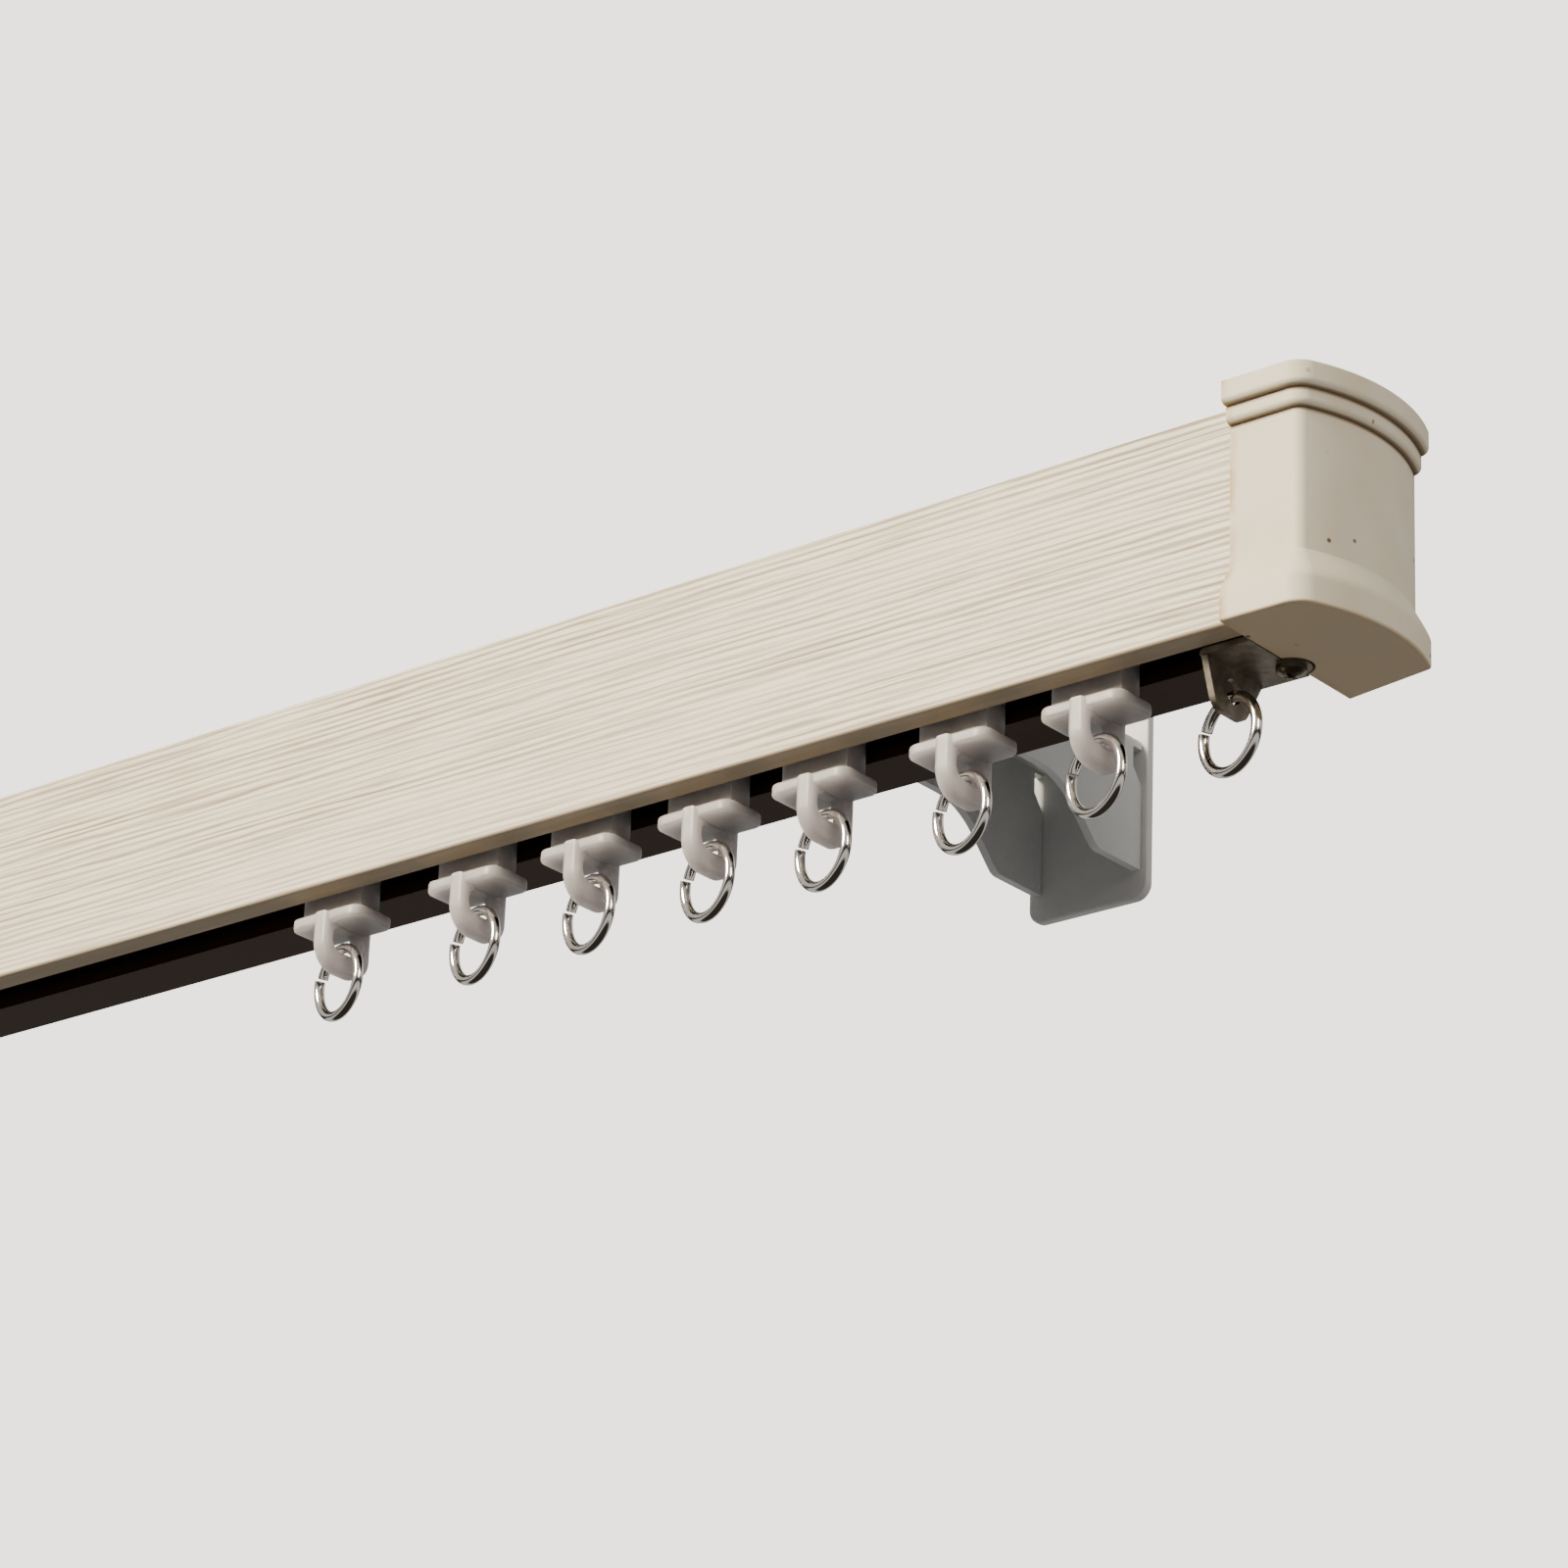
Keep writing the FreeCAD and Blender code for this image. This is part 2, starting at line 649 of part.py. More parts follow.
# End stop: a folded plate across the slot with a hanging tongue, screwed into the channel's floor
def make_stop():
    body = new_body("stop_plate_right")
    metal = size("stop_sheet")
    fold = -size("stop_from_cap") - metal
    tab_radius = size("stop_tab_radius")
    inset = size("stop_screw_inset")
    screw_depth = size("stop_screw_depth")
    edge_x = -size("fit_gap")
    offset = inset + edge_x
    reach = root(tab_radius * tab_radius - offset * offset)
    plan = [
        (fold, size("stop_front")),
        (edge_x, size("stop_front")),
        (edge_x, screw_depth - reach, tab_radius, 1),
        (tab_radius - inset, screw_depth, tab_radius, 1),
        (edge_x, screw_depth + reach),
        (edge_x, size("stop_rear")),
        (fold, size("stop_rear")),
    ]
    pad(body, path_sketch(body, "XY_Plane", plan, -metal), metal)
    low = -size("stop_tongue_drop")
    tongue = [
        (size("stop_front"), zero),
        (size("stop_tongue_front"), low),
        (size("stop_tongue_rear"), low),
        (size("stop_rear"), zero),
    ]
    pad(body, path_sketch(body, "YZ_Plane", tongue, fold), metal)
    front = size("stop_tongue_front")
    rear = size("stop_tongue_rear")
    fillet(body, size("stop_tongue_radius"),
           lambda edge: along(edge, y=front, z=low) or along(edge, y=rear, z=low))
    fillet(body, size("stop_fold_radius"), lambda edge: along(edge, x=fold, z=zero))
    eye = sketch(body, "YZ_Plane", fold)
    draw_circle(eye, size("stop_eye_depth"), -size("stop_eye_drop"), size("stop_eye_radius"))
    pocket(body, eye)
    hole = sketch(body, "XY_Plane", zero)
    draw_circle(hole, -inset, screw_depth, size("stop_screw_radius") + size("axle_play"))
    pocket(body, hole)
    keep(place(body, cap_edge))
    mirrored("stop_plate_left", body)

    head = size("stop_head_radius")
    shank = size("stop_screw_radius")
    head_height = size("stop_head_height")
    profile = [
        (zero, -head_height),
        (size("stop_head_flat"), -head_height),
        (head, -size("stop_head_rim")),
        (head, zero),
        (shank, zero),
        (shank, size("stop_screw_length") - shank),
        (zero, size("stop_screw_length")),
    ]
    screw = place(turned("stop_screw_right", profile), stop_screw_x, size("stop_screw_depth"), -metal)
    mirrored("stop_screw_left", screw)

    tongue_x = cap_edge + fold + metal / 2
    bar_top = -size("stop_eye_drop") - size("stop_eye_radius")
    make_ring("stop_ring_right", tongue_x, size("stop_eye_depth"), bar_top)
    make_ring("stop_ring_left", -tongue_x, size("stop_eye_depth"), bar_top)


# Roller glider: a neck with a plate and an eye under the slot, two wheels on an axle inside it
def make_glider(number):
    x = cap_edge - size(f"glider_{number}_from_cap")
    plate_top = -size("glider_drop")
    plate_bottom = plate_top - size("glider_plate_thickness")
    wheel_height = size("lip_top") + size("wheel_lift") + size("wheel_radius")

    block = new_body(f"glider_block_{number}")
    half_plate = size("glider_plate_length") / 2
    plate = round_rectangle(
        -half_plate, half_plate, slot_middle - size("glider_plate_front"),
        slot_middle + size("glider_plate_rear"), size("glider_plate_radius")
    )
    pad(block, path_sketch(block, "XY_Plane", plate, plate_bottom), size("glider_plate_thickness"))
    fillet(block, size("glider_plate_edge"),
           lambda edge: along(edge, z=plate_top) or along(edge, z=plate_bottom))
    half_neck = size("glider_neck_length") / 2
    half_width = size("glider_neck_width") / 2
    neck_low = plate_top - size("glider_plate_thickness") / 2
    neck_high = wheel_height + size("wheel_radius")
    neck = rectangle(-half_neck, half_neck, slot_middle - half_width, slot_middle + half_width)
    pad(block, path_sketch(block, "XY_Plane", neck, neck_low), neck_high - neck_low)
    fillet(block, size("wheel_radius"),
           lambda edge: along(edge, x=half_neck, z=neck_high) or along(edge, x=-half_neck, z=neck_high))

    def neck_root(edge):
        ends = along(edge, x=half_neck, z=plate_top) or along(edge, x=-half_neck, z=plate_top)
        front = along(edge, y=slot_middle - half_width, z=plate_top)
        return ends or front or along(edge, y=slot_middle + half_width, z=plate_top)

    fillet(block, size("glider_neck_root"), neck_root)
    bore = sketch(block, "XZ_Plane")
    draw_circle(bore, zero, wheel_height, size("axle_radius") + size("axle_play"))
    pocket(block, bore)

    loop = new_body(f"glider_loop_{number}")
    front = slot_middle - size("glider_eye_front")
    rear = slot_middle + size("glider_eye_rear")
    top = plate_top - size("fit_gap")
    bottom = plate_bottom - size("glider_eye_height")
    front_radius = size("glider_eye_front_radius")
    rear_radius = size("glider_eye_rear_radius")
    outer = [
        (front, top),
        (front, bottom + front_radius, front_radius, 1),
        (front + front_radius, bottom),
        (rear - rear_radius, bottom, rear_radius, 1),
        (rear, bottom + rear_radius),
        (rear, top),
    ]
    half_eye = size("glider_eye_width") / 2
    drawing = path_sketch(loop, "YZ_Plane", outer, -half_eye)
    bar_top = bottom + size("glider_eye_bar")
    hole_top = plate_bottom - size("fit_gap")
    draw_path(drawing, round_rectangle(
        front + size("glider_eye_arm"), rear - size("glider_eye_web"), bar_top, hole_top,
        size("glider_eye_hole_radius")
    ))
    pad(loop, drawing, size("glider_eye_width"))
    fillet(loop, size("glider_eye_edge"),
           lambda edge: along(edge, x=half_eye) or along(edge, x=-half_eye))

    glider = doc.addObject("Part::Fuse", f"glider_{number}")
    glider.Label = f"glider_{number}"
    glider.Base = block
    glider.Tool = loop
    keep(place(glider, x))

    axle = size("axle_radius")
    wheel = size("wheel_radius")
    chamfer = size("wheel_chamfer")
    width = size("wheel_width")
    hub_gap = half_width + size("wheel_side_gap")
    half_axle = hub_gap + width
    wheel_profile = [
        (axle, zero), (wheel - chamfer, zero), (wheel, chamfer),
        (wheel, width - chamfer), (wheel - chamfer, width), (axle, width),
    ]
    for side, depth in (("front", slot_middle - half_axle), ("rear", slot_middle + hub_gap)):
        piece = turned(f"wheel_{side}_{number}", wheel_profile)
        place(piece, x, depth, wheel_height, rotation_to_depth)
    axle_profile = rectangle(zero, axle, zero, half_axle * 2)
    pin = turned(f"axle_{number}", axle_profile)
    place(pin, x, slot_middle - half_axle, wheel_height, rotation_to_depth)
    ring_depth = slot_middle + (size("glider_eye_rear") - size("glider_eye_front")) / 2
    make_ring(f"ring_{number}", x, ring_depth, bar_top)


make_channel()
make_fascia()
make_cap()
bracket_x = cap_edge - size("bracket_from_cap")
make_bracket("right", bracket_x)
make_bracket("left", -bracket_x)
make_stop()
for number in range(1, len(glider_places) + 1):
    make_glider(number)
doc.recompute()

# Every object has to be sound before anything is written
faults = [item.Name for item in doc.Objects if {"Invalid", "Error"} & set(item.State)]
for piece in pieces:
    if piece.Shape.isNull() or not piece.Shape.isValid() or not piece.Shape.Solids:
        faults.append(piece.Label)
if faults:
    raise RuntimeError("failed: " + ", ".join(faults))

os.makedirs("parts", exist_ok=True)
for piece in pieces:
    piece.Shape.exportStep(f"parts/{piece.Label}.step")
print(f"{len(pieces)} pieces written")
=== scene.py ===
import json
import bmesh
import bpy
import numpy as np
from mathutils import Matrix, Vector


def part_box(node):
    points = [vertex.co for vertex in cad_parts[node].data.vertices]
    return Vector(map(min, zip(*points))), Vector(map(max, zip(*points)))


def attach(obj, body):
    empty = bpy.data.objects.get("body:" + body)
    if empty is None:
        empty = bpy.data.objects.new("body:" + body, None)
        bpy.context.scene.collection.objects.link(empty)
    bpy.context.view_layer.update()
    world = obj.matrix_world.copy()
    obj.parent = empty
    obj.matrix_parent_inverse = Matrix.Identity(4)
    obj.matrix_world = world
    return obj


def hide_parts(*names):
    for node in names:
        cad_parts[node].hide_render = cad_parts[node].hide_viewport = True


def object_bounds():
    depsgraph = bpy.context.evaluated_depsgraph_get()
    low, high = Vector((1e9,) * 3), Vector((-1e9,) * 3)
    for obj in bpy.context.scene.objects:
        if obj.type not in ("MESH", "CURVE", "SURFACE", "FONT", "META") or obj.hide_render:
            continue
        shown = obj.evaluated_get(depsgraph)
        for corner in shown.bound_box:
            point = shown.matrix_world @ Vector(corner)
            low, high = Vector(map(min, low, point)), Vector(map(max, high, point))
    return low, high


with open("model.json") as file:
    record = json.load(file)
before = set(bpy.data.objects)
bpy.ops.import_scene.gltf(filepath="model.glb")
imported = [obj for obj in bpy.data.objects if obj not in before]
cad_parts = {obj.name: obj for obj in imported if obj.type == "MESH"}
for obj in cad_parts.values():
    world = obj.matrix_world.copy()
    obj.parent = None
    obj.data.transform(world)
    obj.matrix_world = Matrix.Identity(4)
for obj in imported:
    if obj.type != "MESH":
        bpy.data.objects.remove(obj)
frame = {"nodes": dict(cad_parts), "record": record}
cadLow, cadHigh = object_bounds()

# Curtain track on wall brackets, in metres; X along the track, Y into the wall, Z up
# Sizes in the dictionaries are in millimetres, unless the comment says metres, and angles in degrees
mm = 0.001
nodes = frame["nodes"]
print("track loaded:", len(nodes), "nodes")


# sRGB hex to linear: below 0.04045 a straight line, above it a power of 2.4
def linearColour(hexText):
    channel = np.array([int(hexText[start:start + 2], 16) for start in (1, 3, 5)]) / 255
    linear = np.where(channel <= 0.04045, channel / 12.92, ((channel + 0.055) / 1.055) ** 2.4)
    return (*linear.tolist(), 1.0)


# Adds a node, gives it its settings, and sets or links its inputs; stops fill a colour ramp
def addNode(tree, kind, inputs=None, stops=None, **settings):
    node = tree.nodes.new("ShaderNode" + kind)
    for name, value in settings.items():
        setattr(node, name, value)
    for name, value in (inputs or {}).items():
        if isinstance(value, bpy.types.NodeSocket):
            tree.links.new(value, node.inputs[name])
        else:
            node.inputs[name].default_value = value
    for index, (position, colour) in enumerate(stops or []):
        ramp = node.color_ramp.elements
        stop = ramp[index] if index < 2 else ramp.new(position)
        stop.position = position
        stop.color = linearColour(colour) if isinstance(colour, str) else (colour, colour, colour, 1)
    return node


# A material with its even values set on the shader's sockets, and its object coordinates
def startMaterial(name, colour, values):
    material = bpy.data.materials.new(name)
    material.use_nodes = True
    tree = material.node_tree
    shader = tree.nodes["Principled BSDF"]
    shader.inputs["Base Color"].default_value = linearColour(colour)
    for socket, value in values.items():
        shader.inputs[socket].default_value = value
    place = addNode(tree, "TexCoord").outputs["Object"]
    return material, tree, shader, place


# Scale of a pattern whose features are this many millimetres wide
def perMm(width):
    return 1 / (width * mm)


# A noise with features of this width; with a length too, they are drawn out along the track
def addNoise(tree, place, width, length=None, detail=3):
    scale = perMm(width)
    if length:
        scales = (perMm(length), scale, scale)
        place = addNode(tree, "Mapping", {"Vector": place, "Scale": scales}).outputs[0]
        scale = 1
    return addNode(tree, "TexNoise", {"Vector": place, "Scale": scale, "Detail": detail}).outputs[0]


# A value that runs over its target range while the given one runs over its source range
def mapRange(tree, value, source=(0.0, 1.0), target=(0.0, 1.0)):
    return addNode(tree, "MapRange", {"Value": value, "From Min": source[0], "From Max": source[1],
                                      "To Min": target[0], "To Max": target[1]}).outputs[0]


def colourRamp(tree, value, positions, colours):
    return addNode(tree, "ValToRGB", {"Fac": value}, zip(positions, colours)).outputs[0]


# The dark and the light tone of a look, which wander into each other over a pattern
def twoTones(tree, pattern, look):
    return colourRamp(tree, pattern, look["toneRange"], (look["dark"], look["light"]))


# One colour laid over another by a share; each is a socket or a hex
def layColour(tree, share, under, over):
    under, over = (linearColour(colour) if isinstance(colour, str) else colour for colour in (under, over))
    return addNode(tree, "Mix", {0: share, 6: under, 7: over}, data_type="RGBA").outputs[2]


# Brown laid over the lowest part of a piece as painted shade, by the height over its lowest point; on the
# cap it is an age stain too
def layUndersideShade(tree, height, lowest, look, colour):
    edges = [lowest + over * mm for over in look["brownHeight"]]
    return layColour(tree, mapRange(tree, height, edges, look["brownShare"]), colour, look["brown"])


def multiply(tree, first, second):
    return addNode(tree, "Math", {0: first, 1: second}, operation="MULTIPLY").outputs[0]


# Gives the shader its colour, and a roughness and a bump that both follow one fine pattern
def dressSurface(tree, shader, look, colour, pattern):
    rough = mapRange(tree, pattern, target=look["rough"])
    bump = addNode(tree, "Bump", {"Height": pattern, "Strength": look["bump"],
                                  "Distance": look["bumpDepth"] * mm}).outputs[0]
    for socket, source in (("Base Color", colour), ("Roughness", rough), ("Normal", bump)):
        tree.links.new(source, shader.inputs[socket])


# Printed wood-grain film on a smooth front: fine tan lines on pale beige that warp and fade, softly satin;
# the folded lower edge is browner, a painted shade
filmLook = {"tones": ("#85745B", "#C7BBA0", "#E5DCC6"), "toneRange": (0.0, 0.4, 0.85),
            "linePitch": 1.35, "stretch": 16, "warp": 6.0,
            "fadeLength": 42, "fadeWidth": 2.4, "fadeRange": (0.34, 0.6), "fadeShare": (0.4, 1.0),
            "hair": "#9F907A", "hairLength": 30, "hairWidth": 0.5, "hairRange": (0.49, 0.66),
            "hairShare": (0.0, 0.75),
            "cloud": "#DDD4C5", "cloudLength": 240, "cloudWidth": 9, "cloudRange": (0.35, 0.7),
            "cloudShare": (0.0, 0.4),
            "brown": "#AC9A7E", "brownHeight": (0.0, 1.0), "brownShare": (0.85, 0.0),
            "rough": (0.58, 0.44), "bump": 0.25, "bumpDepth": 0.06}


# The lines are a wave up the front, warped by a noise that is stretched along the track and fading into the
# palest tone; dark hairs and pale clouds lie over them
def makeFilm():
    look = filmLook
    pale = look["tones"][-1]
    material, tree, shader, place = startMaterial("printedWoodFilm", pale, {"IOR": 1.46})
    along = addNode(tree, "Mapping", {"Vector": place, "Scale": (1 / look["stretch"], 1, 1)}).outputs[0]
    period = 0.1 * np.pi  # of the wave node at scale 1
    grain = addNode(tree, "TexWave", {"Vector": along, "Scale": period * perMm(look["linePitch"]),
                                      "Distortion": look["warp"], "Detail": 3, "Detail Scale": 1.1,
                                      "Detail Roughness": 0.62}, bands_direction="Z").outputs["Fac"]
    lines = colourRamp(tree, grain, look["toneRange"], look["tones"])
    fade = addNoise(tree, place, look["fadeWidth"], look["fadeLength"])
    colour = layColour(tree, mapRange(tree, fade, look["fadeRange"], look["fadeShare"]), pale, lines)
    for layer in ("hair", "cloud"):
        noise = addNoise(tree, place, look[layer + "Width"], look[layer + "Length"], detail=2)
        share = mapRange(tree, noise, look[layer + "Range"], look[layer + "Share"])
        colour = layColour(tree, share, colour, look[layer])
    height = addNode(tree, "SeparateXYZ", {"Vector": place}).outputs["Z"]
    # Painted shade: brown laid over the film's folded lower edge
    colour = layUndersideShade(tree, height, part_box("fascia")[0].z, look, colour)
    dressSurface(tree, shader, look, colour, grain)
    return material


# Anodised aluminium, extruded: dark brown satin with faint die lines along its length
channelLook = {"dark": "#3B240D", "light": "#4B3013", "toneRange": (0.35, 0.75), "lineLength": 300,
               "lineWidth": 0.5, "rough": (0.48, 0.62), "bump": 0.15, "bumpDepth": 0.03}


def makeAnodised():
    look = channelLook
    values = {"Metallic": 0.85}
    material, tree, shader, place = startMaterial("brownAnodisedAluminium", look["dark"], values)
    dieLines = addNoise(tree, place, look["lineWidth"], look["lineLength"])
    dressSurface(tree, shader, look, twoTones(tree, dieLines, look), dieLines)
    return material


# Moulded ABS, matt cream: aged ochre at the seam, painted shade with dirt under the steps, and a few brown
# specks.
# A step's drop is from the cap's top to the step's corner; the heights of the shade and dirt are over that
# corner.
capLook = {"dark": "#D1C7AE", "light": "#D7D0BC", "toneRange": (0.35, 0.65), "cloud": 14,
           "shadeAndDirt": "#6B4F28", "stepDrops": (7.6, 4.45), "shadeAndDirtHeights": (-0.75, -0.4, -0.05, 0.1),
           "shadeAndDirtShares": (0.0, 0.75, 1.0, 0.0),
           "ochre": "#B8924E", "seamWidth": 1.8, "patch": 3.5, "patchRange": (0.32, 0.58),
           "brown": "#C9B18A", "brownHeight": (0.1, 0.6), "brownShare": (0.8, 0.0),
           "speck": "#5E4526", "speckCell": 6.0, "speckWidth": 0.9, "speckEdge": (0.6, 1.3),
           "speckPatch": 9, "speckRange": (0.46, 0.53),
           "peel": 0.9, "rough": (0.5, 0.66), "bump": 0.12, "bumpDepth": 0.05}


def makeCream():
    look = capLook
    capLow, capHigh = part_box("end_cap_right")
    material, tree, shader, place = startMaterial("mouldedCreamAbs", look["light"], {"IOR": 1.5})
    axes = addNode(tree, "SeparateXYZ", {"Vector": place}).outputs
    colour = twoTones(tree, addNoise(tree, place, look["cloud"], detail=4), look)

    # Painted shade and dirt in the corner under each step, by the share of the part's height
    height = mapRange(tree, axes["Z"], (cadLow.z, cadHigh.z))
    corners = [capHigh.z - drop * mm for drop in look["stepDrops"]]
    levels = [corner + over * mm for corner in corners for over in look["shadeAndDirtHeights"]]
    positions = [(level - cadLow.z) / (cadHigh.z - cadLow.z) for level in levels]
    shadedAndDirty = colourRamp(tree, height, positions, look["shadeAndDirtShares"] * len(corners))
    colour = layColour(tree, shadedAndDirty, colour, look["shadeAndDirt"])

    # Ochre along the seam at the fascia's end, broken up by a noise
    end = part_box("fascia")[1].x
    away = addNode(tree, "Math", {0: axes["X"]}, operation="ABSOLUTE").outputs[0]
    seam = mapRange(tree, away, (end, end + look["seamWidth"] * mm), (1.0, 0.0))
    broken = mapRange(tree, addNoise(tree, place, look["patch"]), look["patchRange"])
    colour = layColour(tree, multiply(tree, seam, broken), colour, look["ochre"])
    # Painted shade and an age stain: brown laid over the cap's underside
    colour = layUndersideShade(tree, axes["Z"], capLow.z, look, colour)

    # Specks: the middles of the cells of a Voronoi pattern, kept where a broad noise is high
    cells = addNode(tree, "TexVoronoi", {"Vector": place, "Scale": perMm(look["speckCell"])})
    radius = look["speckWidth"] / 2 / look["speckCell"]
    edges = [radius * edge for edge in look["speckEdge"]]
    dots = mapRange(tree, cells.outputs["Distance"], edges, (1.0, 0.0))
    kept = mapRange(tree, addNoise(tree, place, look["speckPatch"], detail=1), look["speckRange"])
    colour = layColour(tree, multiply(tree, dots, kept), colour, look["speck"])
    dressSurface(tree, shader, look, colour, addNoise(tree, place, look["peel"]))
    return material


# Powder paint on folded steel: pale grey with a fine orange peel
paintLook = {"dark": "#CFD0CF", "light": "#DBDCDA", "toneRange": (0.35, 0.65), "cloud": 18, "peel": 1.1,
             "rough": (0.34, 0.5), "bump": 0.16, "bumpDepth": 0.06}


def makePaint():
    look = paintLook
    material, tree, shader, place = startMaterial("greyPowderPaint", look["light"], {"IOR": 1.5})
    colour = twoTones(tree, addNoise(tree, place, look["cloud"], detail=4), look)
    dressSurface(tree, shader, look, colour, addNoise(tree, place, look["peel"], detail=2))
    return material


# Bare metals, each a tone that wanders a little and a roughness from a finer noise
metalLooks = {
    "zincSteel": {"dark": "#655F52", "light": "#97917F", "toneRange": (0.3, 0.7), "cloud": 3.0,
                  "fine": 0.4, "rough": (0.24, 0.42), "bump": 0.06, "bumpDepth": 0.02},
    "pressedSteel": {"dark": "#7C7367", "light": "#A79E92", "toneRange": (0.3, 0.7), "cloud": 2.6,
                     "fine": 0.35, "rough": (0.38, 0.55), "bump": 0.06, "bumpDepth": 0.02},
    "nickelWire": {"dark": "#D2CDC6", "light": "#E8E4DE", "toneRange": (0.3, 0.7), "cloud": 4.0,
                   "fine": 0.5, "rough": (0.07, 0.14), "bump": 0.06, "bumpDepth": 0.02},
}


def makeMetal(name):
    look = metalLooks[name]
    material, tree, shader, place = startMaterial(name, look["light"], {"Metallic": 1.0})
    colour = twoTones(tree, addNoise(tree, place, look["cloud"], detail=4), look)
    dressSurface(tree, shader, look, colour, addNoise(tree, place, look["fine"]))
    return material


# Moulded plastics that light goes into: nylon milky and soft, acetal whiter and denser
softLooks = {
    "milkyNylon": {"dark": "#9E9A98", "light": "#ABA7A5", "toneRange": (0.3, 0.7), "cloud": 5, "skin": 0.7,
                   "depth": 14.0, "weight": 1.0, "rough": (0.34, 0.5), "bump": 0.08, "bumpDepth": 0.03},
    "whiteAcetal": {"dark": "#E2E2DD", "light": "#ECECE8", "toneRange": (0.3, 0.7), "cloud": 5, "skin": 0.7,
                    "depth": 0.8, "weight": 0.25, "rough": (0.28, 0.4), "bump": 0.08, "bumpDepth": 0.03},
}


def makeTranslucent(name):
    look = softLooks[name]
    values = {"IOR": 1.53, "Subsurface Weight": look["weight"], "Subsurface Radius": (1.0, 0.95, 1.0),
              "Subsurface Scale": look["depth"] * mm}
    material, tree, shader, place = startMaterial(name, look["light"], values)
    colour = twoTones(tree, addNoise(tree, place, look["cloud"]), look)
    dressSurface(tree, shader, look, colour, addNoise(tree, place, look["skin"], detail=2))
    return material


finishes = {
    "wood_film": makeFilm(),
    "brown_anodised": makeAnodised(),
    "cream_moulding": makeCream(),
    "grey_paint": makePaint(),
    "zinc_steel": makeMetal("zincSteel"),
    "pressed_steel": makeMetal("pressedSteel"),
    "nickel_wire": makeMetal("nickelWire"),
    "milky_nylon": makeTranslucent("milkyNylon"),
    "white_acetal": makeTranslucent("whiteAcetal"),
}
slotOf = {part["node"]: part["material_slot"] for part in frame["record"]["subparts"]}
for name, slotName in slotOf.items():
    for materialSlot in nodes[name].material_slots:
        materialSlot.material = finishes[slotName]
print("finishes given:", len(finishes))


# A closed skin over loops of points: neighbouring loops are joined by quads, the end loops by one face each
def skinPiece(name, loops, node, body, sharp):
    rows, columns = loops.shape[:2]
    index = np.arange(rows * columns).reshape(rows, columns)
    following = np.roll(index, -1, axis=1)
    quads = np.stack([index[:-1], following[:-1], following[1:], index[1:]], axis=-1).reshape(-1, 4)
    mesh = bpy.data.meshes.new(name)
    mesh.from_pydata(loops.reshape(-1, 3), [], quads.tolist() + [index[0].tolist(), index[-1].tolist()])
    solid = bmesh.new()
    solid.from_mesh(mesh)
    bmesh.ops.recalc_face_normals(solid, faces=solid.faces)
    solid.to_mesh(mesh)
    solid.free()
    mesh.polygons.foreach_set("use_smooth", np.ones(len(mesh.polygons), bool))
    mesh.set_sharp_from_angle(angle=np.radians(sharp))
    piece = bpy.data.objects.new(name, mesh)
    bpy.context.scene.collection.objects.link(piece)
    mesh.materials.append(finishes[slotOf[node]])
    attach(piece, body)
    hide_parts(node)


# Split ring: a round wire bent almost closed, its two cut ends a little out of line
ringLook = {"outer": 7.69, "wire": 1.0, "turn": 14.0, "gap": 4.5, "gapSide": 162.0, "sideStep": 0.3,
            "outStep": 0.22, "stepPower": 5, "chamfer": 0.22, "chamferFrom": 0.9985, "along": 150,
            "around": 24, "sharp": 40}


# Middle line: a circle from one end of the split to the other, where the last parts step aside and outwards
# with a power of the share along it; round it goes the wire's circle, smaller at the cut ends.
# A ring's body has the name of its node.
def buildRing(node):
    look = ringLook
    low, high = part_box(node)
    centre = np.array((low + high) / 2)
    turn = np.radians(look["turn"])
    across = np.array([np.cos(turn), -np.sin(turn), 0.0])
    normal = np.array([np.sin(turn), np.cos(turn), 0.0])
    up = np.array([0.0, 0.0, 1.0])
    inner = np.linspace(-1, 1, look["along"])[1:-1]
    share = np.concatenate([[-1, -look["chamferFrom"]], inner, [look["chamferFrom"], 1]])
    angle = np.radians(look["gapSide"] + 180 + share * (180 - look["gap"] / 2))
    outwards = np.cos(angle)[:, None] * across + np.sin(angle)[:, None] * up
    reach = look["outer"] - look["wire"] + look["outStep"] * np.clip(share, 0, 1) ** look["stepPower"]
    aside = look["sideStep"] * share ** look["stepPower"]
    line = outwards * reach[:, None] + normal * aside[:, None]
    wire = np.full(len(share), look["wire"])
    wire[[0, -1]] -= look["chamfer"]
    bearing = np.linspace(0, 2 * np.pi, look["around"], endpoint=False)
    circle = np.cos(bearing)[None, :, None] * outwards[:, None] + np.sin(bearing)[None, :, None] * normal
    loops = centre + (line[:, None] + circle * wire[:, None, None]) * mm
    skinPiece(node + "_wire", loops, node, node, look["sharp"])


gliderCount = 7
trackSides = ("right", "left")
rings = [f"ring_{number}" for number in range(1, gliderCount + 1)]
rings += [f"stop_ring_{side}" for side in trackSides]
for node in rings:
    buildRing(node)
print("split rings:", len(rings))


# Cross-head screws: a domed head with a cross recess, a seat, and a threaded shank with a point
screwLooks = {
    "stop_screw": {"head": 2.7, "height": 1.8, "rim": 0.9, "shank": 1.45, "length": 6.0, "up": -1,
                   "armReach": 1.55, "armHalf": 0.34, "armDepth": 1.0, "pitch": 0.9, "thread": 0.2},
    "clamp_bolt": {"head": 4.0, "height": 2.6, "rim": 1.3, "shank": 2.0, "length": 8.0, "up": 1,
                   "armReach": 2.3, "armHalf": 0.5, "armDepth": 1.5, "pitch": 0.7, "thread": 0.2},
}
screwForm = {"domePower": 2.4, "armEdge": 0.12, "middleShare": 0.03, "tip": 0.05, "around": 72,
             "headRows": 44, "shankRows": 90, "sharp": 35}


